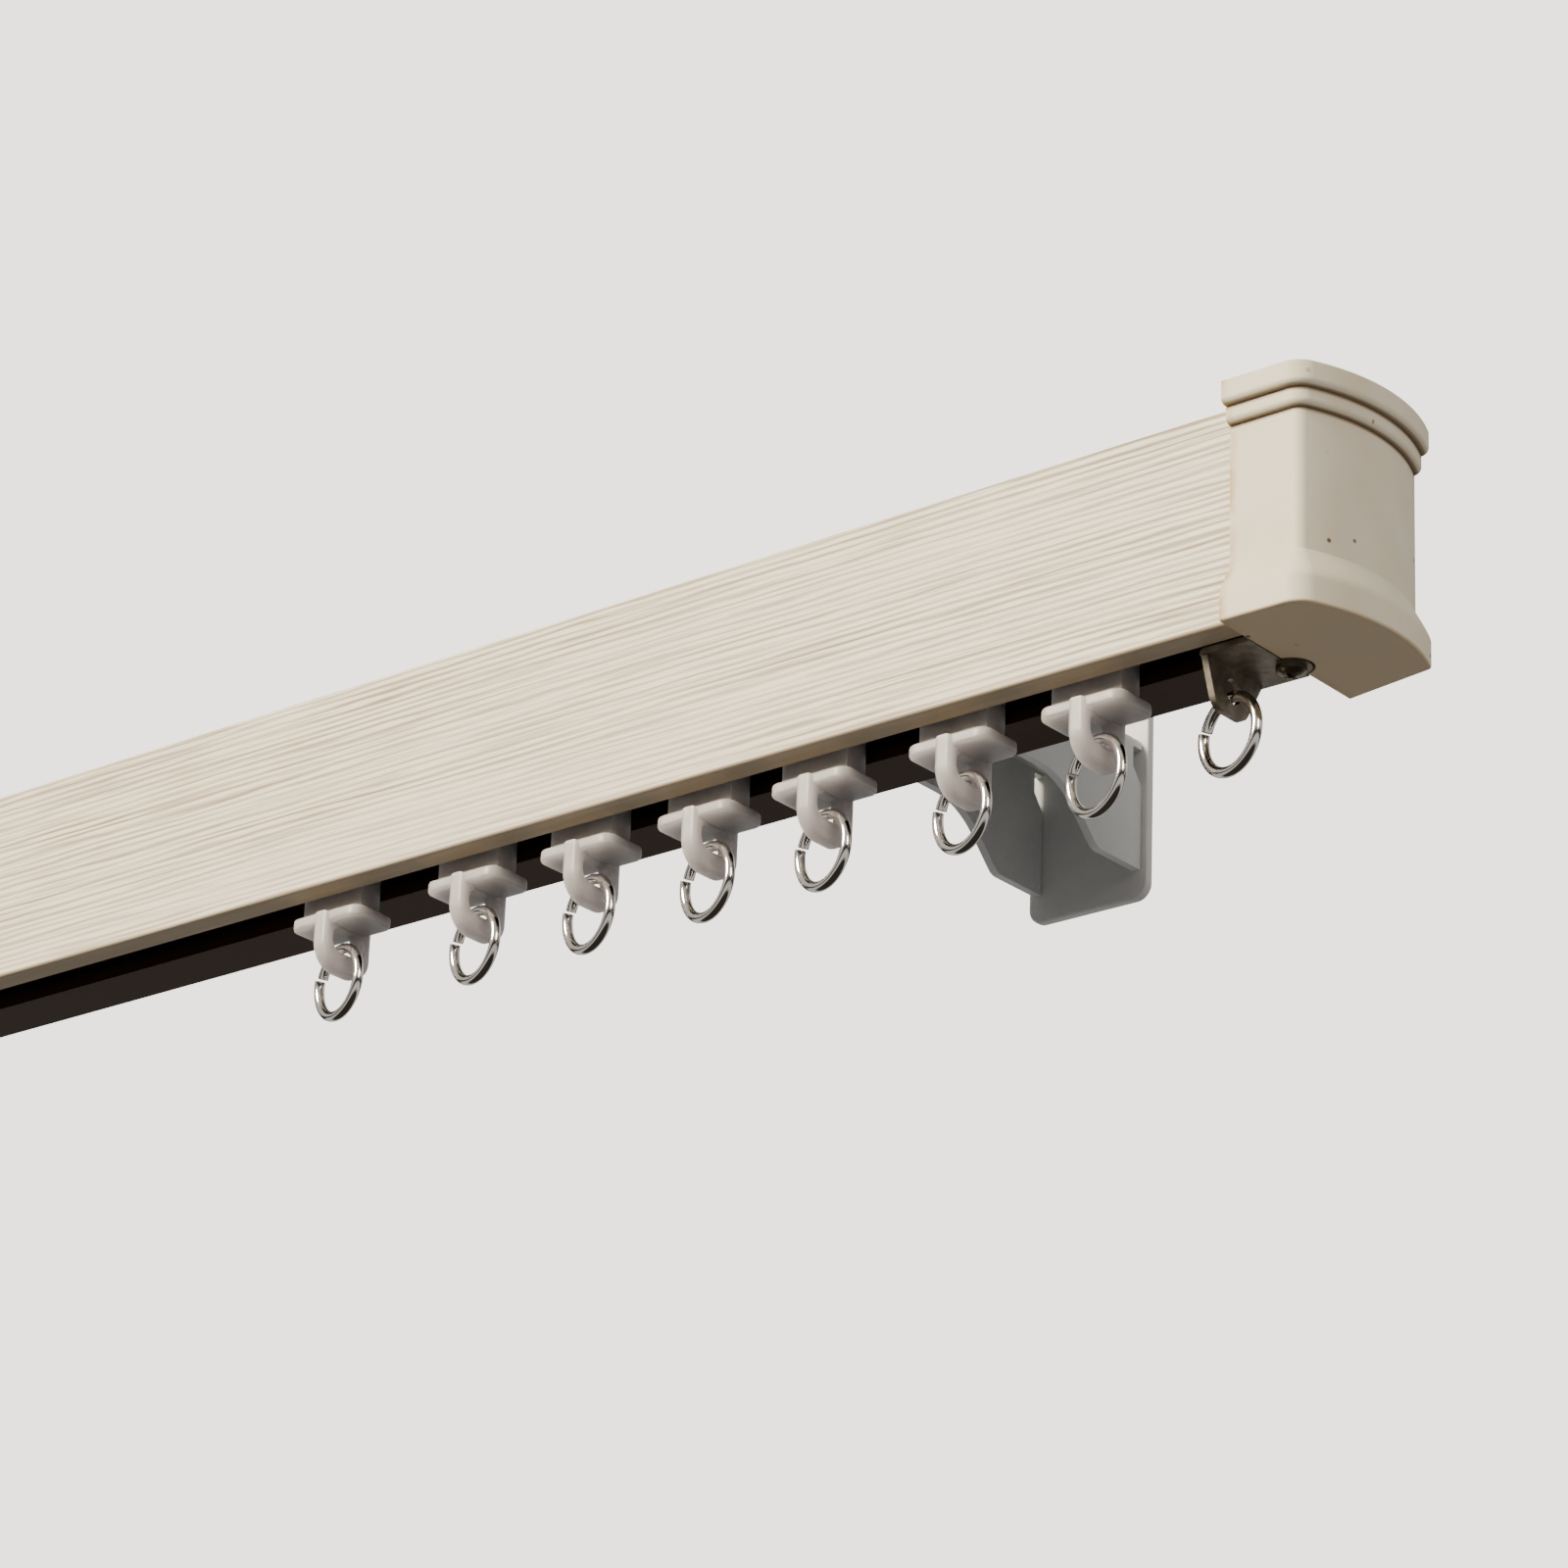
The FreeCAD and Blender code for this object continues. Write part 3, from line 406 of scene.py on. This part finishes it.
# Head: height over radius falls with a power; the recess takes off its depth where either arm of the cross
# covers the point, shallower towards the arm's end. Shank: radius less a triangle wave along a helix.
def buildScrew(kind, side):
    look, form = screwLooks[kind], screwForm
    node = f"{kind}_{side}"
    low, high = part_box(node)
    centre = np.array((low + high) / 2)
    seat = (low.z if look["up"] < 0 else high.z) - look["up"] * look["height"] * mm
    angle = np.linspace(0, 2 * np.pi, form["around"], endpoint=False)
    ones = np.ones((1, form["around"]))
    out = np.linspace(form["middleShare"], 1, form["headRows"])[:, None]
    head = look["head"] * out * ones
    domed = look["rim"] + (look["height"] - look["rim"]) * (1 - out ** form["domePower"])

    def arm(lengthways, sideways):
        edge = np.clip((look["armHalf"] - sideways) / form["armEdge"] + 0.5, 0, 1)
        return edge * np.clip(1 - (lengthways / look["armReach"]) ** 2, 0, 1)

    offX, offY = np.abs(head * np.cos(angle)), np.abs(head * np.sin(angle))
    domed = domed - look["armDepth"] * np.maximum(arm(offX, offY), arm(offY, offX))
    depth = np.linspace(0, look["length"] - look["shank"], form["shankRows"])[:, None]
    wave = np.abs(((depth / look["pitch"] + angle / (2 * np.pi)) % 1) * 2 - 1)
    shank = look["shank"] - look["thread"] * wave
    radius = np.concatenate([head, head[-1:], shank, form["tip"] * ones])
    level = np.concatenate([domed, 0 * ones, -depth * ones, -look["length"] * ones])
    x, y = centre[0] + radius * np.cos(angle) * mm, centre[1] + radius * np.sin(angle) * mm
    loops = np.stack([x, y, seat + look["up"] * level * mm], axis=-1)
    skinPiece(node + "_cross", loops, node, "track", form["sharp"])


for side in trackSides:
    for kind in screwLooks:
        buildScrew(kind, side)
print("screws:", len(trackSides) * len(screwLooks))


# Camera: a long lens that looks up at the track's right end; its slide goes across, up and back from the
# origin, which is a point on the fascia's lower front edge
cameraLook = {"azimuth": 40.1006, "elevation": -22.8309, "roll": 2.2845, "lens": 126.944, "sensor": 36,
              "slide": (73.1463, 26.5221, 922.0859), "origin": (290.2, -65.0, -27.0), "clipStart": 50}


def placeCamera():
    look = cameraLook
    azimuth, elevation, roll = (np.radians(look[name]) for name in ("azimuth", "elevation", "roll"))
    level = np.cos(elevation)
    back = np.array([np.sin(azimuth) * level, -np.cos(azimuth) * level, np.sin(elevation)])
    flat = np.array([np.cos(azimuth), np.sin(azimuth), 0.0])
    rise = np.cross(back, flat)
    right = np.cos(roll) * flat + np.sin(roll) * rise
    up = -np.sin(roll) * flat + np.cos(roll) * rise
    across, high, far = look["slide"]
    place = (np.array(look["origin"]) - across * right - high * up + far * back) * mm
    camera = bpy.data.objects.new("camera", bpy.data.cameras.new("camera"))
    bpy.context.scene.collection.objects.link(camera)
    axes = np.eye(4)
    axes[:3] = np.stack([right, up, back, place], axis=1)
    camera.matrix_world = Matrix(axes.tolist())
    camera.data.lens = look["lens"]
    camera.data.sensor_width = look["sensor"]
    camera.data.clip_start = look["clipStart"] * mm
    bpy.context.scene.camera = camera


placeCamera()

# Studio, in metres: a pale floor far below, and soft lamps
floorLook = {"colour": "#E8E4DD", "height": -2.6, "half": 60.0, "glow": 1.8, "rough": 0.8}
lampLooks = {
    "keyLamp": {"place": (-0.7, -2.4, 1.2), "aim": (0.15, -0.05, -0.02), "size": 1.1, "watts": 216,
                "tint": "#FFF2DA"},
    "sideLamp": {"place": (2.2, -0.9, 0.6), "aim": (0.25, -0.05, -0.02), "size": 0.9, "watts": 22,
                 "tint": "#FFF2E2"},
}


def buildFloor():
    look = floorLook
    sides = np.array([[-1, -1], [1, -1], [1, 1], [-1, 1]]) * look["half"]
    corners = np.column_stack([sides, np.full(4, look["height"])])
    mesh = bpy.data.meshes.new("studioFloor")
    mesh.from_pydata(corners, [], [[0, 1, 2, 3]])
    values = {"Roughness": look["rough"], "Emission Color": linearColour(look["colour"]),
              "Emission Strength": look["glow"]}
    mesh.materials.append(startMaterial("paleFloor", look["colour"], values)[0])
    floor = bpy.data.objects.new("studioFloor", mesh)
    bpy.context.scene.collection.objects.link(floor)
    floor.visible_diffuse = False  # the surround alone lights the underside
    floor.visible_glossy = False


def buildLamp(name, look):
    lamp = bpy.data.lights.new(name, "AREA")
    lamp.shape = "DISK"
    lamp.size = look["size"]
    lamp.energy = look["watts"]
    lamp.color = linearColour(look["tint"])[:3]
    stand = bpy.data.objects.new(name, lamp)
    bpy.context.scene.collection.objects.link(stand)
    stand.location = look["place"]
    away = stand.location - Vector(look["aim"])
    stand.rotation_euler = away.to_track_quat("Z", "Y").to_euler()


# Room: its ramps run from straight below to straight above. One lights the part. Shiny surfaces mirror the
# other, which is dark straight below and at eye level, and else bright. The camera sees a pale surround.
roomLook = {"surround": "#F0EBE3", "seenStrength": 3.2, "under": "#949291", "level": "#37322D",
            "over": "#D6D4D0",
            "litRamp": {"positions": (0.4, 0.46, 0.55, 0.62), "tones": ("under", "level", "level", "over")},
            "mirroredRamp": {"positions": (0.22, 0.3, 0.42, 0.47, 0.53, 0.62),
                             "tones": ("level", "over", "over", "level", "level", "over")}}


def buildRoom():
    look = roomLook
    world = bpy.data.worlds.new("paleRoom")
    bpy.context.scene.world = world
    world.use_nodes = True
    tree = world.node_tree
    tree.nodes.clear()
    towards = addNode(tree, "SeparateXYZ", {"Vector": addNode(tree, "TexCoord").outputs["Generated"]})
    rise = mapRange(tree, towards.outputs["Z"], (-1.0, 1.0))
    lit, mirrored = (colourRamp(tree, rise, ramp["positions"], [look[tone] for tone in ramp["tones"]])
                     for ramp in (look["litRamp"], look["mirroredRamp"]))
    path = addNode(tree, "LightPath").outputs
    light = addNode(tree, "Background", {"Color": layColour(tree, path["Is Glossy Ray"], lit, mirrored)})
    seen = addNode(tree, "Background", {"Color": linearColour(look["surround"]),
                                        "Strength": look["seenStrength"]})
    both = addNode(tree, "MixShader", {0: path["Is Camera Ray"], 1: light.outputs[0], 2: seen.outputs[0]})
    addNode(tree, "OutputWorld", {"Surface": both.outputs[0]})


buildFloor()
for name, look in lampLooks.items():
    buildLamp(name, look)
buildRoom()
print("camera and studio ready")
